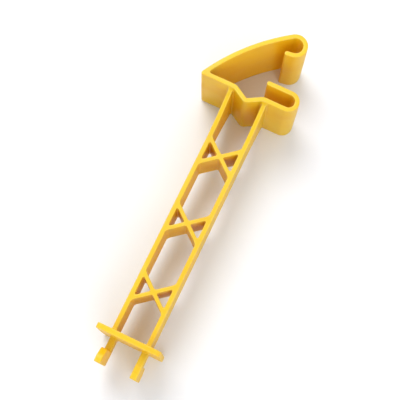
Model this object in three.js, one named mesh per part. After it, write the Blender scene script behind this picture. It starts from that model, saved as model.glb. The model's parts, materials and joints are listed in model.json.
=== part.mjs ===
// Wrap-around fence insulator with a stand-off arm, for a steel T-post.
//
// Millimetres. The origin is the middle of the face that bears on the post. +X runs out along the
// arm to the fence wire, +Y runs along the wire and +Z points up the post. The part is moulded in
// one plastic and drawn from its mould along Z, so most members are plan outlines extruded in Z. The
// walls and fingers are side outlines extruded along Y, and the end flange is extruded along X.

import * as THREE from "three";

// Arm
const REACH = 114; // post face to the middle of the end flange
const WALL_SPACING = 15.4; // between the middles of the two side walls
const WALL_T = 2.2;
const WALL_HEIGHT = 18;
const FLARE_LENGTH = 24; // where the walls grow to the clip's width
const FLARE_STEPS = 8;
const BRACE_T = 1.9;
const BRACE_SPAN = 10.8; // along the arm, between the middles of a brace's bar ends
const BRACE_AT = [29.2, 60.7, 92.3]; // middle of each brace, from the post face

// Post clip
const CLIP_WIDTH = 34; // along the post
const CLIP_T = 2.3;
const CORNER_Y = -20.8; // where the strap leaves the face plate
const CORNER_LENGTH = 3.2;
const NOTCH_HALF = 6.4; // half the width of the notch that clears the post's studs
const NOTCH_DEPTH = 3.7;
const PLATE_END_Y = 16.3; // where the snap hook starts, and flexes
const FLEX_GAP = 0.35; // parting between the round root of a flexing member and the frame

// Strap that wraps round the post, and the hook at its end
const STRAP_HEADING = 152; // direction in which it leaves the corner, in degrees from +X
const STRAP_RADIUS = 88;
const STRAP_LENGTH = 41.6; // along the arc, from the corner to where the hook starts
const ROOT_START = 1.5; // the strap's fixed root runs from here to just short of the pivot
const PIVOT_AT = 8; // along the strap from the corner: where it flexes
const HOOK_RADIUS = 4.25;
const HOOK_TURN = -206;
const HOOK_RETURN = 2.6;

// Snap hook for the post's flange
const SNAP_RADIUS = 3.7;
const SNAP_LIP = 10.4;

// End flange and the two wire fingers
const FLANGE_WIDTH = 28;
const FLANGE_HEIGHT = 34;
const FLANGE_T = 2.6;
const FLANGE_CORNER = 2;
const FINGER_T = 3;
const SLOT_DEPTH = 5.5; // flange to finger head
const HEAD_T = 6.4;
const WIRE_GAP = 4.4; // clear height left for the wire between the two finger posts
const FINGER_TOP = 9.2;
const FINGER_TIP = -13;
const TIP_LEAD = 3.4; // lead-in slope on the tip of a finger head
const TIP_BACK = 1.4;

const ARC_STEP = 8; // degrees for each flat of an arc
const STRAP_STEP = 3.5;
const ROUND_STEPS = 8;
const CORNER_STEPS = 4;

const plateX = CLIP_T / 2;
const flangeInner = REACH - FLANGE_T / 2;
const flangeOuter = REACH + FLANGE_T / 2;

const plastic = new THREE.MeshStandardMaterial({ color: 0xf7c913, roughness: 0.42, metalness: 0 });

const insulator = new THREE.Group();

function addNode(name, geometry) {
  const mesh = new THREE.Mesh(geometry, plastic);
  mesh.name = name;
  insulator.add(mesh);
  return mesh;
}

// ---- Outlines

// A point a given distance from (x, y) in a direction in degrees.
function step(point, degrees, distance) {
  const a = THREE.MathUtils.degToRad(degrees);
  return new THREE.Vector2(point.x + Math.cos(a) * distance, point.y + Math.sin(a) * distance);
}

// Centre-line of straight runs and arcs: a list of points, each with its heading in degrees.
function centreLine(start, heading, moves) {
  let at = start.clone();
  let angle = heading;
  const line = [{ at, angle }];
  for (const move of moves) {
    if (move.run) {
      at = step(at, angle, move.run);
      line.push({ at, angle });
      continue;
    }
    const count = Math.ceil(Math.abs(move.turn) / (move.step ?? ARC_STEP));
    const turn = move.turn / count;
    const chord = 2 * move.radius * Math.sin(THREE.MathUtils.degToRad(Math.abs(turn) / 2));
    for (let i = 0; i < count; i++) {
      at = step(at, angle + turn / 2, chord);
      angle += turn;
      line.push({ at, angle });
    }
  }
  return line;
}

// Half circle round a strip's end, from its right side to its left.
function roundEnd({ at, angle }, thickness) {
  const points = [];
  for (let i = 1; i < ROUND_STEPS; i++) {
    points.push(step(at, angle - 90 + (180 * i) / ROUND_STEPS, thickness / 2));
  }
  return points;
}

// The stretch of the strap's arc that begins and ends at two lengths along it from the corner.
function strapStretch(from, to) {
  const turn = (length) => -THREE.MathUtils.radToDeg(length / STRAP_RADIUS);
  const chord = 2 * STRAP_RADIUS * Math.sin(from / STRAP_RADIUS / 2);
  const corner = new THREE.Vector2(plateX, CORNER_Y);
  const begin = step(corner, STRAP_HEADING + turn(from) / 2, chord);
  const arc = { radius: STRAP_RADIUS, turn: turn(to - from), step: STRAP_STEP };
  return centreLine(begin, STRAP_HEADING + turn(from), [arc]);
}

// Closed outline of a strip of even thickness along a centre-line. Its ends are square, or round
// where asked; mitre cuts the start back on the right-hand side.
function stripShape(line, thickness, { roundStart = false, roundFinish = false, mitre = 0 } = {}) {
  const first = line[0];
  const last = line[line.length - 1];
  const right = line.map(({ at, angle }) => step(at, angle - 90, thickness / 2));
  const left = line.map(({ at, angle }) => step(at, angle + 90, thickness / 2)).reverse();
  right[0] = step(right[0], first.angle, mitre);
  const outline = [...right];
  if (roundFinish) outline.push(...roundEnd(last, thickness));
  outline.push(...left);
  if (roundStart) outline.push(...roundEnd({ at: first.at, angle: first.angle + 180 }, thickness));
  return new THREE.Shape(outline);
}

// A plan outline extruded to a height in Z, centred on the parting plane.
function extrudeUp(name, shape, height) {
  const geometry = new THREE.ExtrudeGeometry(shape, { depth: height, bevelEnabled: false });
  const mesh = addNode(name, geometry);
  mesh.position.z = -height / 2;
  return mesh;
}

// A side outline, drawn in X and Z, extruded along Y and centred on y.
function extrudeSideways(name, shape, y, thickness) {
  const geometry = new THREE.ExtrudeGeometry(shape, { depth: thickness, bevelEnabled: false });
  const mesh = addNode(name, geometry);
  mesh.rotation.x = Math.PI / 2;
  mesh.position.y = y + thickness / 2;
  return mesh;
}

function rectangle(x0, y0, x1, y1) {
  const corners = [[x0, y0], [x1, y0], [x1, y1], [x0, y1]];
  return new THREE.Shape(corners.map(([x, y]) => new THREE.Vector2(x, y)));
}

// ---- Arm

// One side wall, and the flare where it spreads to the clip's full width.
function addSideWall(side, y) {
  const flareEnd = CLIP_T + FLARE_LENGTH;
  const half = WALL_HEIGHT / 2;
  extrudeSideways(`${side}_side_wall`, rectangle(flareEnd, -half, flangeInner, half), y, WALL_T);

  const growth = (CLIP_WIDTH - WALL_HEIGHT) / 2;
  const upper = [];
  for (let i = 0; i <= FLARE_STEPS; i++) {
    const t = i / FLARE_STEPS;
    upper.push(new THREE.Vector2(CLIP_T + FLARE_LENGTH * t, half + growth * (1 - t) ** 2));
  }
  const lower = upper.map((p) => new THREE.Vector2(p.x, -p.y)).reverse();
  extrudeSideways(`${side}_wall_flare`, new THREE.Shape([...upper, ...lower]), y, WALL_T);
}

// An X of two bars between the walls.
function addBrace(name, x) {
  const wallY = (WALL_SPACING - WALL_T) / 2;
  const bar = new THREE.Vector2(BRACE_SPAN / 2, wallY);
  const halfX = (BRACE_T / 2) * (bar.length() / bar.y); // half a bar's width, measured along X
  const halfY = (BRACE_T / 2) * (bar.length() / bar.x);
  const quarter = [[halfX, 0], [bar.x + halfX, bar.y], [bar.x - halfX, bar.y]];
  const upper = [
    ...quarter,
    [0, halfY],
    [-bar.x + halfX, bar.y],
    [-bar.x - halfX, bar.y],
  ];
  const lower = upper.map(([px, py]) => [-px, -py]);
  const outline = [...upper, ...lower].map(([px, py]) => new THREE.Vector2(px, py));
  extrudeUp(name, new THREE.Shape(outline), WALL_HEIGHT).position.x = x;
}

// ---- Post clip

// A flat stretch of the face plate from one Y to another.
function addPlate(name, fromY, toY, options) {
  const line = centreLine(new THREE.Vector2(plateX, fromY), 90, [{ run: toY - fromY }]);
  extrudeUp(name, stripShape(line, CLIP_T, options), CLIP_WIDTH);
}

// One flank of the stud notch: a slab of the plate that slopes out to the notch's ridge.
function addNotchFlank(name, sign) {
  const outline = [
    [0, sign * NOTCH_HALF],
    [CLIP_T, sign * NOTCH_HALF],
    [CLIP_T + NOTCH_DEPTH, 0],
    [NOTCH_DEPTH, 0],
  ].map(([x, y]) => new THREE.Vector2(x, y));
  extrudeUp(name, new THREE.Shape(outline), CLIP_WIDTH);
}

function addFacePlate() {
  const cornerEnd = CORNER_Y + CORNER_LENGTH;
  addPlate("clip_corner", CORNER_Y, cornerEnd, { roundStart: true });
  addPlate("left_face_plate", cornerEnd, -NOTCH_HALF);
  addPlate("right_face_plate", NOTCH_HALF, PLATE_END_Y - CLIP_T / 2 - FLEX_GAP);
  addNotchFlank("left_notch_flank", -1);
  addNotchFlank("right_notch_flank", 1);
}

function addStrap() {
  // The root's inner face starts where it meets the post face, at x = 0.
  const root = strapStretch(ROOT_START, PIVOT_AT - CLIP_T / 2 - FLEX_GAP);
  const inner = step(root[0].at, root[0].angle - 90, CLIP_T / 2);
  const mitre = -inner.x / Math.cos(THREE.MathUtils.degToRad(root[0].angle));
  extrudeUp("strap_root", stripShape(root, CLIP_T, { mitre }), CLIP_WIDTH);

  const strap = strapStretch(PIVOT_AT, STRAP_LENGTH);
  extrudeUp("wrap_strap", stripShape(strap, CLIP_T, { roundStart: true }), CLIP_WIDTH);

  const end = strap[strap.length - 1];
  const hook = centreLine(end.at, end.angle, [
    { radius: HOOK_RADIUS, turn: HOOK_TURN },
    { run: HOOK_RETURN },
  ]);
  extrudeUp("strap_hook", stripShape(hook, CLIP_T, { roundFinish: true }), CLIP_WIDTH);
}

function addSnapHook() {
  const start = new THREE.Vector2(plateX, PLATE_END_Y);
  const bend = centreLine(start, 90, [{ radius: SNAP_RADIUS, turn: 180 }]);
  extrudeUp("snap_hook_bend", stripShape(bend, CLIP_T, { roundStart: true }), CLIP_WIDTH);

  const end = bend[bend.length - 1];
  const lip = centreLine(end.at, end.angle, [{ run: SNAP_LIP }]);
  extrudeUp("snap_hook_lip", stripShape(lip, CLIP_T, { roundFinish: true }), CLIP_WIDTH);
}

// ---- Wire end

function addEndFlange() {
  const w = FLANGE_WIDTH / 2;
  const h = FLANGE_HEIGHT / 2;
  const r = FLANGE_CORNER;
  const shape = new THREE.Shape();
  shape.moveTo(-w + r, -h);
  shape.lineTo(w - r, -h);
  shape.absarc(w - r, -h + r, r, -Math.PI / 2, 0);
  shape.lineTo(w, h - r);
  shape.absarc(w - r, h - r, r, 0, Math.PI / 2);
  shape.lineTo(-w + r, h);
  shape.absarc(-w + r, h - r, r, Math.PI / 2, Math.PI);
  shape.lineTo(-w, -h + r);
  shape.absarc(-w + r, -h + r, r, Math.PI, Math.PI * 1.5);
  const geometry = new THREE.ExtrudeGeometry(shape, {
    depth: FLANGE_T,
    bevelEnabled: false,
    curveSegments: CORNER_STEPS,
  });
  const plate = addNode("end_flange", geometry);
  plate.rotation.set(Math.PI / 2, Math.PI / 2, 0); // plate's width to Y, height to Z, thickness to X
  plate.position.x = flangeInner;
}

// An L-shaped finger: a post out of the flange, and a head that runs past the wire. sign is +1 for
// the finger whose post is above the wire, and -1 for the one below it.
function addFinger(prefix, y, sign) {
  const slotEnd = flangeOuter + SLOT_DEPTH;
  const tip = slotEnd + HEAD_T;
  const toShape = (outline) => new THREE.Shape(outline.map(([x, z]) => new THREE.Vector2(x, sign * z)));

  const post = [
    [flangeOuter, WIRE_GAP / 2],
    [slotEnd, WIRE_GAP / 2],
    [slotEnd, FINGER_TOP],
    [flangeOuter, FINGER_TOP],
  ];
  extrudeSideways(`${prefix}_finger_post`, toShape(post), y, FINGER_T);

  const head = [
    [slotEnd, FINGER_TOP],
    [slotEnd, FINGER_TIP + TIP_LEAD],
    [slotEnd + TIP_LEAD, FINGER_TIP],
    [tip - TIP_BACK, FINGER_TIP],
    [tip, FINGER_TIP + TIP_BACK],
    [tip, FINGER_TOP - TIP_BACK],
    [tip - TIP_BACK, FINGER_TOP],
  ];
  extrudeSideways(`${prefix}_finger_head`, toShape(head), y, FINGER_T);
}

addSideWall("left", -WALL_SPACING / 2);
addSideWall("right", WALL_SPACING / 2);
BRACE_AT.forEach((x, i) => addBrace(`cross_brace_${i + 1}`, x));
addFacePlate();
addStrap();
addSnapHook();
addEndFlange();
addFinger("upper", WALL_SPACING / 2, 1);
addFinger("lower", -WALL_SPACING / 2, -1);

export default insulator;
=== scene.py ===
"""Wrap-around fence insulator: the finished moulding around its CAD frame.

The moulding is described as one distance field, so that every member runs into the next with the
fillets, rounded edges and draft of a real mould. A surface net turns the field into a mesh, which
is then shared out into one closed piece for each CAD node.

Shapes are worked out in millimetres in the CAD frame and become metres when a mesh is made. Places
in the materials are in metres.
"""

import json
import math

import bmesh
import bpy
import numpy as np
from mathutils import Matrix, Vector


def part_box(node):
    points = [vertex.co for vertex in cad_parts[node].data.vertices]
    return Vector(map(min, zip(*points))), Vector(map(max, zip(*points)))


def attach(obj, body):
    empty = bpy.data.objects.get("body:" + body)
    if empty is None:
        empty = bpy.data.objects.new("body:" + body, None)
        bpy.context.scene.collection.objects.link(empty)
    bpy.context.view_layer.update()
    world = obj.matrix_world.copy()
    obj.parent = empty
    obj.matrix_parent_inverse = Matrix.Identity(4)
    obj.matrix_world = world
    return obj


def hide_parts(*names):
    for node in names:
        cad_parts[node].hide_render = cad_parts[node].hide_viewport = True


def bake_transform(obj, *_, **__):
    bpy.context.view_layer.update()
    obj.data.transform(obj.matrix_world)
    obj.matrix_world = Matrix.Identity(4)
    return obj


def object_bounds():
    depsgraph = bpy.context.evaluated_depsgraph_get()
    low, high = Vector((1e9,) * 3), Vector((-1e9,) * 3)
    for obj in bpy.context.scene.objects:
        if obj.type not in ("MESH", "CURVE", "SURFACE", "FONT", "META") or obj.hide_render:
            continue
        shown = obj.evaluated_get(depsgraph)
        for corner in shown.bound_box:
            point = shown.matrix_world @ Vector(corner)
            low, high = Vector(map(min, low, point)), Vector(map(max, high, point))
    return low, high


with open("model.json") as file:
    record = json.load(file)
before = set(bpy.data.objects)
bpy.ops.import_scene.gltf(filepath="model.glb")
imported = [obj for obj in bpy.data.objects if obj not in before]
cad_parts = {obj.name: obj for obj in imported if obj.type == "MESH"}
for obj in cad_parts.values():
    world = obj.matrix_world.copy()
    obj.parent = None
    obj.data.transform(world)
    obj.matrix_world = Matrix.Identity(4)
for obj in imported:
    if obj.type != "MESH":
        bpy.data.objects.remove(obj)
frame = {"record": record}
cad_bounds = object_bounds()

MM = 0.001

# Strap and hook, as the CAD draws them
STRAP_HEADING = 152  # degrees from +X, as the strap leaves the clip's corner
STRAP_RADIUS = 88
STRAP_LENGTH = 41.6
HOOK_RADIUS = 4.25
HOOK_TURN = -206
HOOK_RETURN = 2.6
FLARE_LENGTH = 24
BRACE_T = 1.9
BRACE_SPAN = 10.8  # along the arm, between a bar's two ends
FLANGE_CORNER = 2
TIP_LEAD = 3.4  # lead-in slope on the tip of a finger head

# Mould
EDGE = 0.35  # radius of an outer edge
DRAFT = 0.007  # slope of faces that leave the mould along Z
WALL_FILLET = 1.0
CORNER_EASE = 1.5  # into the clip's corner, over which its fillet grows
BRACE_FILLET = 0.8
BRACE_OVERLAP = 0.2  # of a bar's end into the wall
CROSSING_FILLET = 0.6
FLARE_DROP = 1.1  # from the clip's edge down to the flare's, which leaves room for their fillet
FINGER_FILLET = 0.8
FINGER_CORNER = 0.9
FINGER_OVERLAP = 3  # of a finger's post into its head
ELBOW_FILLET = 0.3  # between post and head
NOTCH_BEND = 2.2  # centre-line radius where the notch leaves the face plate
NOTCH_RIDGE = 1.6
INSIDE = 0.02  # how far the surface keeps inside the CAD solids

# Surface net
CELL = 0.4
FINE_Z = ((1.6, 2.8), (8.0, 17.6))  # heights with edges to resolve
COARSE_Z = 1.2
MARGIN_CELLS = 2  # round the moulding
SETTLE_ROUNDS = 4
LEAST_SLOPE = 0.2  # squared, so that a point in a flat place of the field doesn't fly off
SLOPE_STEP = 0.02
BEND_STEP = 0.25
SHARP_EDGE = 2.0  # bending, per millimetre, at which the wear on an edge is full
# Bending, per millimetre, at which the painted shade in a fillet is full
SHARP_HOLLOW = 1.0

# Where one piece gives way to the next: middles of cells, clear of fillets
CORNER_CUT_Y = -17.2
CORNER_CUT_LENGTH = 3.8  # along the strap
ROOT_CUT_LENGTH = 5.6
NOTCH_CUT_Y = 5.2
BRACE_CUT_Y = 5.6
BRACES_FROM_X = 12
SNAP_CUT_Y = 15.6
PLATE_CUT_X = 3.6
FLANGE_CUT_X = 111.6
POST_CUT_X = 116.4
HEAD_CUT_X = 120.4

# Where the plastic bends, from the start of each flexing piece
STRAP_BEND = 7.0
BEND_MARGIN = 0.5  # of the strap's piece that stays straight before the bend

# Sockets of a Mix node in its colour mode
MIX_A = 6
MIX_B = 7
MIX_RESULT = 2

# Plastic
BRIGHT_YELLOW = (0.95, 0.66, 0.016)
# Also painted into the fillets and hollows as shade
DEEP_YELLOW = (0.87, 0.50, 0.005)
WORN_YELLOW = (0.97, 0.76, 0.16)
PLASTIC_IOR = 1.5
TRANSLUCENCY = 0.3
BUMP_STRENGTH = 0.65
BUMP_DEPTH = 0.00006  # metres
SEAM_EDGE = (0.00006, 0.00022)  # metres from the parting plane, over which its ridge falls away

# Stage, in metres
FLOOR_HALF = 1.5
FLOOR_GREYS = ((0.80, 0.80, 0.82), (0.84, 0.84, 0.85))
FLOOR_ROUGHNESS = 0.75
SKY_COLOUR = (0.95, 0.97, 1.0)
SKY_STRENGTH = 0.78
LIGHTS = {
    "key": {
        "direction": (-0.5, -0.5, 1.0),
        "distance": 0.7,
        "size": 0.45,
        "power": 3.1,
        "colour": (1, 1, 1),
    },
    "fill": {
        "direction": (0.8, 0.6, 0.8),
        "distance": 0.8,
        "size": 0.6,
        "power": 2.0,
        "colour": (0.97, 0.98, 1.0),
    },
}

# Camera, on the side of the clip's snap hook
CAMERA_ELEVATION = 77
CAMERA_BEARING = 25.5  # degrees from +X towards +Y
CAMERA_DISTANCE = 0.40  # metres
CAMERA_LENS = 85  # millimetres


def corners(node):
    """Lowest and highest corner of a CAD node, in millimetres."""
    lo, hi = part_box(node)
    return np.array(lo) / MM, np.array(hi) / MM


# ---- Sizes from the CAD frame

_, plate_hi = corners("left_face_plate")
_, flank_hi = corners("right_notch_flank")
corner_lo, _ = corners("clip_corner")
bend_lo, bend_hi = corners("snap_hook_bend")
lip_lo, _ = corners("snap_hook_lip")
wall_lo, wall_hi = corners("right_side_wall")
flange_lo, flange_hi = corners("end_flange")
post_lo, post_hi = corners("upper_finger_post")
head_lo, head_hi = corners("upper_finger_head")
braces = [corners(f"cross_brace_{i}") for i in (1, 2, 3)]

clip_t = plate_hi[0]
clip_half = plate_hi[2]
plate_x = clip_t / 2
corner_y = corner_lo[1] + clip_t / 2
notch_half = flank_hi[1]
notch_depth = flank_hi[0] - clip_t
snap_radius = (bend_hi[0] - bend_lo[0] - clip_t) / 2
snap_y = bend_hi[1] - snap_radius - clip_t / 2
snap_lip = snap_y - lip_lo[1] - clip_t / 2
wall_y = (wall_lo[1] + wall_hi[1]) / 2
wall_t = wall_hi[1] - wall_lo[1]
wall_half = wall_hi[2]
flare_end = wall_lo[0]
flange_x = (flange_lo[0] + flange_hi[0]) / 2
flange_t = flange_hi[0] - flange_lo[0]
finger_y = (post_lo[1] + post_hi[1]) / 2
finger_t = post_hi[1] - post_lo[1]
brace_at = [(lo[0] + hi[0]) / 2 for lo, hi in braces]


# ---- Distance fields. Each takes coordinates that broadcast together.


def join(a, b, radius):
    """Union of two solids with a fillet between them."""
    reach = np.hypot(np.maximum(radius - a, 0), np.maximum(radius - b, 0))
    return np.maximum(radius, np.minimum(a, b)) - reach


def meet(a, b, radius):
    """Intersection of two solids with a rounded edge."""
    return -join(-a, -b, radius)


def to_run(x, y, start, end):
    """Distance to a straight run of a centre-line."""
    along = end - start
    t = ((x - start[0]) * along[0] + (y - start[1]) * along[1]) / along.dot(along)
    t = np.clip(t, 0, 1)
    return np.hypot(x - start[0] - t * along[0], y - start[1] - t * along[1])


def to_arc(x, y, centre, radius, middle, half):
    """Distance to an arc whose middle lies at one angle and whose ends are half to either side."""
    dx = x - centre[0]
    dy = y - centre[1]
    angle = (np.arctan2(dy, dx) - middle + math.pi) % (2 * math.pi) - math.pi
    ends = [middle - half, middle + half]
    to_ends = [np.hypot(dx - radius * math.cos(a), dy - radius * math.sin(a)) for a in ends]
    return np.where(
        np.abs(angle) <= half, np.abs(np.hypot(dx, dy) - radius), np.minimum(*to_ends)
    )


class Path:
    """A centre-line in plan, made of runs and arcs, with the distance to each."""

    def __init__(self, x, y, heading):
        self.at = np.array([x, y], float)
        self.heading = math.radians(heading)
        self.legs = []

    def direction(self, offset=0.0):
        angle = self.heading + offset
        return np.array([math.cos(angle), math.sin(angle)])

    def run(self, length):
        end = self.at + self.direction() * length
        self.legs.append((to_run, (self.at, end)))
        self.at = end
        return self

    def turn(self, radius, degrees):
        """An arc: to the left for a positive turn and to the right for a negative one."""
        turn = math.radians(degrees)
        side = math.copysign(math.pi / 2, turn)
        centre = self.at + self.direction(side) * radius
        first = self.heading - side
        self.legs.append((to_arc, (centre, radius, first + turn / 2, abs(turn) / 2)))
        self.at = centre + radius * np.array([math.cos(first + turn), math.sin(first + turn)])
        self.heading += turn
        return self

    def distance(self, x, y, legs=slice(None)):
        parts = [measure(x, y, *shape) for measure, shape in self.legs[legs]]
        return np.minimum.reduce(np.broadcast_arrays(*parts))


def plate_path():
    """Face plate with its stud notch, then the snap hook and its lip."""
    slope = math.atan2(notch_depth, notch_half)
    degrees = math.degrees(slope)
    bend = NOTCH_BEND * math.tan(slope / 2)
    ridge = NOTCH_RIDGE * math.tan(slope)
    flank = math.hypot(notch_depth, notch_half) - bend - ridge
    path = Path(plate_x, corner_y, 90)
    path.run(-notch_half - bend - corner_y)
    path.turn(NOTCH_BEND, -degrees).run(flank)
    path.turn(NOTCH_RIDGE, 2 * degrees).run(flank)
    path.turn(NOTCH_BEND, -degrees).run(snap_y - notch_half - bend)
    path.turn(snap_radius, 180).run(snap_lip)
    return path


def strap_path():
    """The wrap strap, then its hook."""
    path = Path(plate_x, corner_y, STRAP_HEADING)
    path.turn(STRAP_RADIUS, -math.degrees(STRAP_LENGTH / STRAP_RADIUS))
    path.turn(HOOK_RADIUS, HOOK_TURN).run(HOOK_RETURN)
    return path


def on_strap(length):
    """The place at a length along the strap from the clip's corner, in metres."""
    path = Path(plate_x, corner_y, STRAP_HEADING)
    path.turn(STRAP_RADIUS, -math.degrees(length / STRAP_RADIUS))
    return Vector((*path.at * MM, 0))


plate = plate_path()
strap = strap_path()
STRAP_LEGS = slice(0, 1)
HOOK_LEGS = slice(1, 3)
strap_centre = strap.legs[0][1][0]


def strap_length(x, y):
    """Length along the strap from the clip's corner, measured on its centre-line."""
    corner = np.array([plate_x, corner_y]) - strap_centre
    first = math.atan2(corner[1], corner[0])
    angle = first - np.arctan2(y - strap_centre[1], x - strap_centre[0])
    return STRAP_RADIUS * ((angle + math.pi) % (2 * math.pi) - math.pi)


def clip_plan(x, y):
    """The clip seen along Z. Only the inner side of the corner is filleted."""
    inward = np.radians((STRAP_HEADING + 90) / 2)
    depth = (x - plate_x) * math.cos(inward) + (y - corner_y) * math.sin(inward)
    fillet = np.clip(depth / CORNER_EASE, 0, 1) * WALL_FILLET
    half = clip_t / 2
    return join(plate.distance(x, y) - half, strap.distance(x, y) - half, fillet)


def walls_plan(x, y):
    """Both side walls, from inside the face plate to inside the end flange."""
    side = np.abs(np.abs(y) - wall_y) - wall_t / 2
    ends = np.maximum(plate_x - x, x - flange_x)
    return np.maximum(side, ends)


def brace_plan(x, y, at):
    """An X of two bars whose ends lie just inside the walls."""
    inner = wall_y - wall_t / 2
    reach = BRACE_SPAN / 2 * (inner + BRACE_OVERLAP) / inner
    end = np.array([reach, inner + BRACE_OVERLAP])
    bars = [to_run(x - at, sign * y, -end, end) - BRACE_T / 2 for sign in (1, -1)]
    return join(*bars, CROSSING_FILLET)


def prism(plan, height):
    """A plan outline between two heights, with rounded edges. Both are distances."""
    return meet(plan, height, EDGE)


def arm_field(x, y, z):
    """Walls and braces. The walls' edges rise along a parabola to meet the clip."""
    plan = walls_plan(x, y)
    for at in brace_at:
        plan = join(plan, brace_plan(x, y, at), BRACE_FILLET)
    grown = np.clip((flare_end - x) / FLARE_LENGTH, 0, 1)
    half = wall_half + (clip_half - FLARE_DROP - wall_half) * grown**2
    slope = 2 * (clip_half - wall_half) / FLARE_LENGTH * grown
    return prism(plan + np.abs(z) * DRAFT, (np.abs(z) - half) / np.sqrt(1 + slope**2))


def flange_field(x, y, z):
    """The end flange, a plate with round corners."""
    face = meet(np.abs(y) - flange_hi[1], np.abs(z) - flange_hi[2], FLANGE_CORNER)
    thickness = np.abs(x - flange_x) - flange_t / 2
    return prism(face, thickness + np.abs(z) * DRAFT)


def finger_field(x, y, z, side):
    """An L-shaped finger. side is +1 for the one whose post is above the wire, -1 for the other."""
    z = z * side
    bottom = head_lo[2]
    top = head_hi[2]
    slot_x = head_lo[0]
    tip_x = head_hi[0]
    head = meet(slot_x - x, bottom - z, FINGER_CORNER)
    head = meet(head, (slot_x + TIP_LEAD - x + bottom - z) / math.sqrt(2), FINGER_CORNER)
    head = meet(head, x - tip_x, FINGER_CORNER)
    head = meet(head, z - top, FINGER_CORNER)
    post = np.maximum(post_lo[2] - z, z - top)
    post = np.maximum(post, np.maximum(flange_x - x, x - slot_x - FINGER_OVERLAP))
    outline = join(head, post, ELBOW_FILLET)
    width = np.abs(y - side * finger_y) - finger_t / 2
    return prism(outline, width + np.abs(z) * DRAFT)


def field(x, y, z):
    """Distance to the whole moulding's surface: negative inside."""
    clip = prism(clip_plan(x, y) + np.abs(z) * DRAFT, np.abs(z) - clip_half)
    body = join(clip, arm_field(x, y, z), WALL_FILLET)
    body = join(body, flange_field(x, y, z), WALL_FILLET)
    for side in (1, -1):
        body = join(body, finger_field(x, y, z, side), FINGER_FILLET)
    return np.maximum(body, np.abs(z) - clip_half) + INSIDE


# ---- Surface net


def even_axis(lowest, highest):
    """Grid planes a cell apart, set so that multiples of a cell are middles of cells."""
    first = math.floor(lowest / CELL) - MARGIN_CELLS
    last = math.ceil(highest / CELL) + MARGIN_CELLS
    return (np.arange(first, last) + 0.5) * CELL


def height_axis():
    """Grid planes along Z: close together where there are edges, and wide apart between them."""
    half = [CELL / 2]
    for low, high in FINE_Z:
        count = max(1, round((low - half[-1]) / COARSE_Z))
        half.extend(np.linspace(half[-1], low, count + 1)[1:])
        count = round((high - low) / CELL)
        half.extend(np.linspace(low, high, count + 1)[1:])
    half = np.array(half)
    return np.concatenate([-half[::-1], half])


def gradient(points):
    """Slope of the field, which points straight out of the surface."""
    slopes = []
    for shift in np.eye(3) * SLOPE_STEP:
        ahead = field(*(points + shift).T)
        behind = field(*(points - shift).T)
        slopes.append((ahead - behind) / (2 * SLOPE_STEP))
    return np.stack(slopes, axis=1)


def surface_net(xs, ys, zs):
    """One point in each cell that the surface crosses, and a quad round each crossed grid edge."""
    values = field(xs[:, None, None], ys[None, :, None], zs[None, None, :])
    inside = values < 0
    grid = (xs, ys, zs)
    cells = tuple(n - 1 for n in values.shape)
    total = np.zeros(cells + (3,))
    count = np.zeros(cells)
    crossings = []
    for axis in range(3):
        low = [slice(None)] * 3
        high = [slice(None)] * 3
        low[axis] = slice(None, -1)
        high[axis] = slice(1, None)
        crossed = inside[tuple(low)] != inside[tuple(high)]
        index = np.argwhere(crossed)
        before = values[tuple(low)][crossed]
        after = values[tuple(high)][crossed]
        t = before / (before - after)
        points = np.stack([grid[k][index[:, k]] for k in range(3)], axis=1)
        spacing = grid[axis][index[:, axis] + 1] - grid[axis][index[:, axis]]
        points[:, axis] += t * spacing
        u, v = [k for k in range(3) if k != axis]
        around = []
        for du, dv in ((0, 0), (1, 0), (1, 1), (0, 1)):
            cell = index.copy()
            cell[:, u] -= du
            cell[:, v] -= dv
            np.add.at(total, tuple(cell.T), points)
            np.add.at(count, tuple(cell.T), 1)
            around.append(cell)
        # Across Y the corners run the other way round, because u and v are X and Z.
        backwards = inside[tuple(low)][crossed] == (axis == 1)
        crossings.append((around, backwards))
    used = count > 0
    number = np.full(cells, -1)
    number[used] = np.arange(used.sum())
    points = total[used] / count[used][:, None]
    quads = []
    for around, backwards in crossings:
        quad = np.stack([number[tuple(cell.T)] for cell in around], axis=1)
        quad[backwards] = quad[backwards][:, ::-1]
        quads.append(quad)
    return points, np.concatenate(quads)


def settle(points):
    """Moves points along the field's slope onto the surface."""
    for _ in range(SETTLE_ROUNDS):
        slope = gradient(points)
        steepness = np.maximum((slope**2).sum(axis=1), LEAST_SLOPE)
        points = points - slope * (field(*points.T) / steepness)[:, None]
    return points


def bending(points):
    """How the surface bends: positive on outer edges, negative in fillets, 0 on flat faces."""
    total = -6 * field(*points.T)
    for shift in np.eye(3) * BEND_STEP:
        total = total + field(*(points + shift).T) + field(*(points - shift).T)
    return total / BEND_STEP**2


# ---- Pieces


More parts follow.
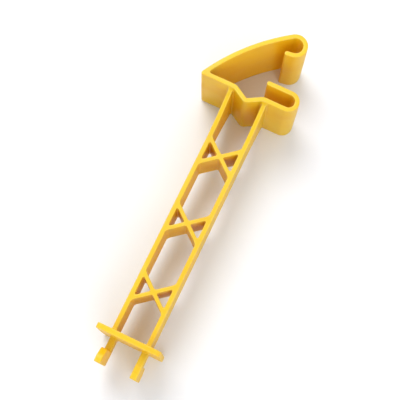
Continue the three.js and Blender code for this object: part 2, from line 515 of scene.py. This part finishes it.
def members(centres):
    """The CAD node that each place on the surface belongs to."""
    x, y, _ = centres.T
    to_plate = plate.distance(x, y)
    to_strap = strap.distance(x, y, STRAP_LEGS)
    to_hook = strap.distance(x, y, HOOK_LEGS)
    length = strap_length(x, y)
    near_strap = (np.minimum(to_strap, to_hook) < to_plate) & (x < 0)
    past_corner = near_strap & (length > CORNER_CUT_LENGTH)
    side = np.where(y > 0, "right", "left")
    level = np.where(y > 0, "upper", "lower")
    brace = (np.argmin(np.abs(x[:, None] - np.array(brace_at)), axis=1) + 1).astype(str)
    rules = [
        (x > HEAD_CUT_X, np.char.add(level, "_finger_head")),
        (x > POST_CUT_X, np.char.add(level, "_finger_post")),
        (x > FLANGE_CUT_X, "end_flange"),
        ((x > BRACES_FROM_X) & (np.abs(y) < BRACE_CUT_Y), np.char.add("cross_brace_", brace)),
        (x > flare_end + CELL / 4, np.char.add(side, "_side_wall")),
        ((x > PLATE_CUT_X) & (np.abs(y) > NOTCH_CUT_Y), np.char.add(side, "_wall_flare")),
        (past_corner & (to_hook < to_strap), "strap_hook"),
        (past_corner & (length > ROOT_CUT_LENGTH), "wrap_strap"),
        (past_corner, "strap_root"),
        ((x < plate_x - snap_radius) & (y < snap_y) & (y > 0), "snap_hook_lip"),
        (y > SNAP_CUT_Y, "snap_hook_bend"),
        (y > NOTCH_CUT_Y, "right_face_plate"),
        (y > -NOTCH_CUT_Y, np.char.add(side, "_notch_flank")),
        (y > CORNER_CUT_Y, "left_face_plate"),
    ]
    return np.select([test for test, _ in rules], [name for _, name in rules], "clip_corner")


def make_piece(name, points, normals, quads, bends, material):
    """A closed mesh of some of the net's quads, each cut end capped by a fan to its middle."""
    used, faces = np.unique(quads, return_inverse=True)
    faces = faces.reshape(-1, 4)
    mesh = bpy.data.meshes.new(name)
    mesh.from_pydata((points[used] * MM).tolist(), [], faces.tolist())
    mesh.polygons.foreach_set("use_smooth", np.ones(len(faces), bool))
    # Convex edges carry the wear; concave fillets carry the painted shade.
    for kind, amount in (("edge", bends / SHARP_EDGE), ("painted_hollow_shade", -bends / SHARP_HOLLOW)):
        attribute = mesh.attributes.new(kind, "FLOAT", "POINT")
        attribute.data.foreach_set("value", np.clip(amount[used], 0, 1))
    net = bmesh.new()
    net.from_mesh(mesh)
    rim = [side for side in net.edges if side.is_boundary]
    caps = bmesh.ops.holes_fill(net, edges=rim, sides=0)["faces"]
    for cap in caps:
        cap.smooth = False
    bmesh.ops.poke(net, faces=caps)
    net.to_mesh(mesh)
    net.free()
    shading = np.zeros((len(mesh.vertices), 3))
    shading[: len(used)] = normals[used]
    mesh.normals_split_custom_set_from_vertices(shading.tolist())
    mesh.materials.append(material)
    piece = bpy.data.objects.new(f"moulded_{name}", mesh)
    bpy.context.scene.collection.objects.link(piece)
    return piece


# ---- Materials


def add_node(tree, kind, inputs=None, **settings):
    """Adds a shader node with its settings and inputs: an input is a value or another's output."""
    node = tree.nodes.new(kind)
    for key, value in settings.items():
        setattr(node, key, value)
    for key, value in (inputs or {}).items():
        if isinstance(value, bpy.types.NodeSocket):
            tree.links.new(value, node.inputs[key])
        else:
            node.inputs[key].default_value = value
    return node


def new_material(name):
    material = bpy.data.materials.new(name)
    material.use_nodes = True
    material.node_tree.nodes.clear()
    return material, material.node_tree


def noise(tree, vector, scale=1, detail=3, roughness=0.5):
    node = add_node(
        tree,
        "ShaderNodeTexNoise",
        {"Vector": vector, "Scale": scale, "Detail": detail, "Roughness": roughness},
    )
    return node.outputs["Fac"]


def remap(tree, value, low, high, to_low=0, to_high=1):
    """Stretches the range from low to high over another range, and holds it there."""
    node = add_node(
        tree,
        "ShaderNodeMapRange",
        {"Value": value, "From Min": low, "From Max": high, "To Min": to_low, "To Max": to_high},
    )
    return node.outputs["Result"]


def times(tree, a, b):
    return add_node(tree, "ShaderNodeMath", {0: a, 1: b}, operation="MULTIPLY").outputs[0]


def plus(tree, a, b):
    return add_node(tree, "ShaderNodeMath", {0: a, 1: b}, operation="ADD").outputs[0]


def mix_colour(tree, factor, a, b):
    node = add_node(tree, "ShaderNodeMix", {"Factor": factor}, data_type="RGBA")
    for socket, colour in ((node.inputs[MIX_A], a), (node.inputs[MIX_B], b)):
        if isinstance(colour, bpy.types.NodeSocket):
            tree.links.new(colour, socket)
        else:
            socket.default_value = (*colour, 1)
    return node.outputs[MIX_RESULT]


def stretched(tree, place, scale):
    node = add_node(tree, "ShaderNodeMapping", {"Vector": place, "Scale": scale})
    return node.outputs["Vector"]


def worn_places(tree, place):
    """Wear on the outer edges, and scuffs from tumbling loose with others: 0 to 1."""
    edge = add_node(tree, "ShaderNodeAttribute", attribute_name="edge").outputs["Fac"]
    patchy = remap(tree, noise(tree, place, scale=900), 0.35, 0.65, to_low=0.25)
    scuff = noise(tree, stretched(tree, place, (160, 420, 300)), detail=5, roughness=0.7)
    return times(tree, edge, patchy), remap(tree, scuff, 0.58, 0.7)


def plastic_colour(tree, place, wear, scuffed):
    """Flow marks and clouds, painted shade that deepens the yellow in the hollows, and paler where
    worn.
    """
    painted_hollow_shade = add_node(tree, "ShaderNodeAttribute", attribute_name="painted_hollow_shade").outputs["Fac"]
    flow = noise(tree, stretched(tree, place, (40, 90, 90)), detail=4, roughness=0.6)
    cloud = noise(tree, place, scale=45, detail=2)
    tone = times(tree, remap(tree, flow, 0.35, 0.7), remap(tree, cloud, 0.3, 0.7))
    colour = mix_colour(tree, times(tree, tone, 0.6), BRIGHT_YELLOW, DEEP_YELLOW)
    # Painted shade: the fillets and hollows turn deeper yellow, as if in shadow.
    colour = mix_colour(tree, times(tree, painted_hollow_shade, 0.35), colour, DEEP_YELLOW)
    colour = mix_colour(tree, times(tree, wear, 0.65), colour, WORN_YELLOW)
    return mix_colour(tree, times(tree, scuffed, 0.3), colour, WORN_YELLOW)


def plastic_gloss(tree, place, wear, scuffed):
    """Roughness: satin, and duller where worn."""
    gloss = remap(tree, noise(tree, place, scale=130), 0.3, 0.7, to_low=0.30, to_high=0.42)
    gloss = plus(tree, gloss, times(tree, scuffed, 0.18))
    return plus(tree, gloss, times(tree, wear, 0.12))


def plastic_bump(tree, place, scuffed):
    """Fine grain, slow ripples, hairlines, scuffs, and the mould's parting line at mid-height."""
    grain = noise(tree, place, scale=3200, detail=2)
    ripple = noise(tree, stretched(tree, place, (70, 160, 160)), detail=2)
    hair = noise(tree, stretched(tree, place, (120, 2600, 2600)), detail=2)
    hairlines = remap(tree, hair, 0.66, 0.72)
    level = add_node(tree, "ShaderNodeSeparateXYZ", {"Vector": place}).outputs["Z"]
    distance = add_node(tree, "ShaderNodeMath", {0: level}, operation="ABSOLUTE").outputs[0]
    seam = remap(tree, distance, *SEAM_EDGE, to_low=1, to_high=0)
    height = times(tree, grain, 0.25)
    for layer, amount in ((ripple, 1.6), (hairlines, -0.35), (scuffed, -0.3), (seam, 0.8)):
        height = plus(tree, height, times(tree, layer, amount))
    bump = {"Height": height, "Strength": BUMP_STRENGTH, "Distance": BUMP_DEPTH}
    return add_node(tree, "ShaderNodeBump", bump).outputs["Normal"]


def yellow_plastic():
    """Satin moulded polyethylene, which lets a little light through."""
    material, tree = new_material("yellow_plastic")
    place = add_node(tree, "ShaderNodeTexCoord").outputs["Object"]
    wear, scuffed = worn_places(tree, place)
    colour = plastic_colour(tree, place, wear, scuffed)
    gloss = plastic_gloss(tree, place, wear, scuffed)
    bump = plastic_bump(tree, place, scuffed)
    body = add_node(
        tree,
        "ShaderNodeBsdfPrincipled",
        {"Base Color": colour, "Roughness": gloss, "IOR": PLASTIC_IOR, "Normal": bump},
    )
    glow = add_node(tree, "ShaderNodeBsdfTranslucent", {"Color": colour, "Normal": bump})
    shares = {0: TRANSLUCENCY, 1: body.outputs[0], 2: glow.outputs[0]}
    mixed = add_node(tree, "ShaderNodeMixShader", shares)
    add_node(tree, "ShaderNodeOutputMaterial", {"Surface": mixed.outputs[0]})
    return material


def floor_material():
    """Pale matt board."""
    material, tree = new_material("pale_floor")
    place = add_node(tree, "ShaderNodeTexCoord").outputs["Object"]
    tone = remap(tree, noise(tree, place, scale=25, detail=4), 0.3, 0.7)
    colour = mix_colour(tree, tone, *FLOOR_GREYS)
    body = add_node(
        tree, "ShaderNodeBsdfPrincipled", {"Base Color": colour, "Roughness": FLOOR_ROUGHNESS}
    )
    add_node(tree, "ShaderNodeOutputMaterial", {"Surface": body.outputs[0]})
    return material


# ---- The insulator


def build_moulding():
    """All the pieces, by the name of the CAD node that each replaces."""
    lo = np.array(cad_bounds[0]) / MM
    hi = np.array(cad_bounds[1]) / MM
    points, quads = surface_net(
        even_axis(lo[0], hi[0]), even_axis(lo[1], hi[1]), height_axis()
    )
    points = settle(points)
    normals = gradient(points)
    normals /= np.linalg.norm(normals, axis=1)[:, None]
    bends = bending(points)
    names = members(points[quads].mean(axis=1))
    plastic = yellow_plastic()
    pieces = {}
    for name in sorted(set(names)):
        piece = make_piece(name, points, normals, quads[names == name], bends, plastic)
        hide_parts(name)
        pieces[name] = piece
    return pieces


def fix_to_bodies(pieces):
    """Each piece rides on its node's body, apart from the two that span a joint, which are left
    unattached.
    """
    bodies = frame["record"]["behaviour"]["bodies"]
    body_of_node = {node: body for body, nodes in bodies.items() for node in nodes}
    for name, piece in pieces.items():
        if name not in ("wrap_strap", "snap_hook_bend"):
            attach(piece, body_of_node[name])

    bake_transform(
        pieces["wrap_strap"],
        "frame",
        "strap",
        start=on_strap(ROOT_CUT_LENGTH + BEND_MARGIN),
        end=on_strap(ROOT_CUT_LENGTH + STRAP_BEND),
    )
    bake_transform(pieces["snap_hook_bend"])


# ---- Stage


def add_floor(z):
    """A flat square under the insulator, which lies on its lower edges."""
    mesh = bpy.data.meshes.new("floor")
    signs = ((-1, -1), (1, -1), (1, 1), (-1, 1))
    mesh.from_pydata([(i * FLOOR_HALF, j * FLOOR_HALF, z) for i, j in signs], [], [(0, 1, 2, 3)])
    mesh.materials.append(floor_material())
    floor = bpy.data.objects.new("floor", mesh)
    bpy.context.scene.collection.objects.link(floor)


def add_light(name, middle, direction, distance, size, power, colour):
    """A round soft light that faces the middle of the insulator."""
    light = bpy.data.lights.new(name, "AREA")
    light.shape = "DISK"
    light.size = size
    light.energy = power
    light.color = colour
    lamp = bpy.data.objects.new(name, light)
    lamp.location = middle + Vector(direction).normalized() * distance
    lamp.rotation_euler = (middle - lamp.location).to_track_quat("-Z", "Y").to_euler()
    bpy.context.scene.collection.objects.link(lamp)


def add_world():
    """Even pale light from all round."""
    world = bpy.data.worlds.new("studio")
    world.use_nodes = True
    background = world.node_tree.nodes["Background"]
    background.inputs["Color"].default_value = (*SKY_COLOUR, 1)
    background.inputs["Strength"].default_value = SKY_STRENGTH
    bpy.context.scene.world = world


def add_camera(middle):
    """Looks down on the insulator, its arm running to the lower left of the picture."""
    up = math.radians(CAMERA_ELEVATION)
    bearing = math.radians(CAMERA_BEARING)
    level = math.cos(up)
    towards = Vector((level * math.cos(bearing), level * math.sin(bearing), math.sin(up)))
    camera = bpy.data.cameras.new("camera")
    camera.lens = CAMERA_LENS
    viewpoint = bpy.data.objects.new("camera", camera)
    viewpoint.location = middle + towards * CAMERA_DISTANCE
    viewpoint.rotation_euler = (-towards).to_track_quat("-Z", "Y").to_euler()
    bpy.context.scene.collection.objects.link(viewpoint)
    bpy.context.scene.camera = viewpoint


bpy.context.scene.view_settings.view_transform = "Standard"
fix_to_bodies(build_moulding())

low, high = (Vector(corner) for corner in cad_bounds)
centre = (low + high) / 2
add_floor(low.z)
for light_name, settings in LIGHTS.items():
    add_light(light_name, centre, **settings)
add_world()
add_camera(centre)
